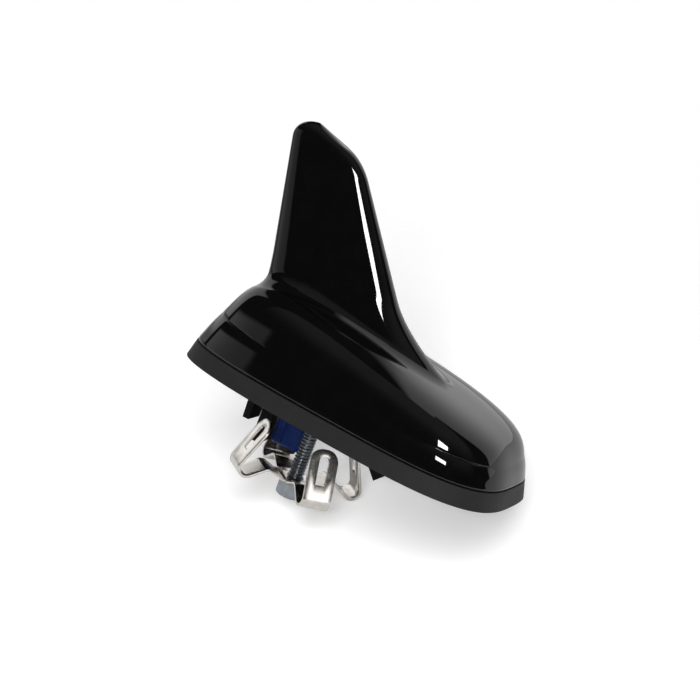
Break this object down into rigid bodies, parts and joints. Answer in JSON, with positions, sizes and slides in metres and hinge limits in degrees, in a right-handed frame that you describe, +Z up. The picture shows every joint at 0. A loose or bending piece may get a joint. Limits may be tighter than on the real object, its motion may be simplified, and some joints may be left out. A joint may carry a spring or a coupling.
{
  "type": "shark fin aerial",
  "caption": "Vehicle roof aerial: glossy black fin cover on a gasketed base, with a coax connector below and a bolt that draws up a sprung retaining clip.",
  "frame": {"origin": "clamp bolt's axis at the roof's outer surface, the plane of the gasket's underside", "axes": "+Z up out of the roof along the bolt, +X towards the nose, +Y to the left of the vehicle's travel"},
  "size_m": [0.118, 0.058, 0.115],
  "materials": {
    "black_gloss": "high-gloss black moulding",
    "charcoal_rubber": "matt charcoal rubber",
    "black_plastic": "matt black moulding",
    "brass": "turned brass",
    "zinc_steel": "zinc-plated steel",
    "spring_steel": "bright spring steel strip",
    "blue_plastic": "blue moulding, slightly shiny",
    "dark_metal": "dark plated metal",
    "white_plastic": "white insulator",
    "board_green": "green solder mask",
    "ceramic": "fired ceramic",
    "silver": "printed silver",
    "copper": "etched copper"
  },
  "bodies": {
    "root": {"fin_cover": "black_gloss", "base_gasket": "charcoal_rubber", "base_plate": "black_plastic", "bolt_insert": "brass", "clamp_bolt": "zinc_steel", "retaining_clip": "spring_steel", "connector_housing": "blue_plastic", "connector_shell": "dark_metal", "connector_insulator": "white_plastic", "connector_pin": "brass", "main_board": "board_green", "board_screws": "zinc_steel", "cover_screws": "zinc_steel", "shield_can": "spring_steel", "patch_ceramic": "ceramic", "patch_electrode": "silver", "patch_feed_pin": "brass", "fin_board": "board_green", "fin_board_element": "copper", "fin_board_holder": "black_plastic"}
  },
  "joints": []
}
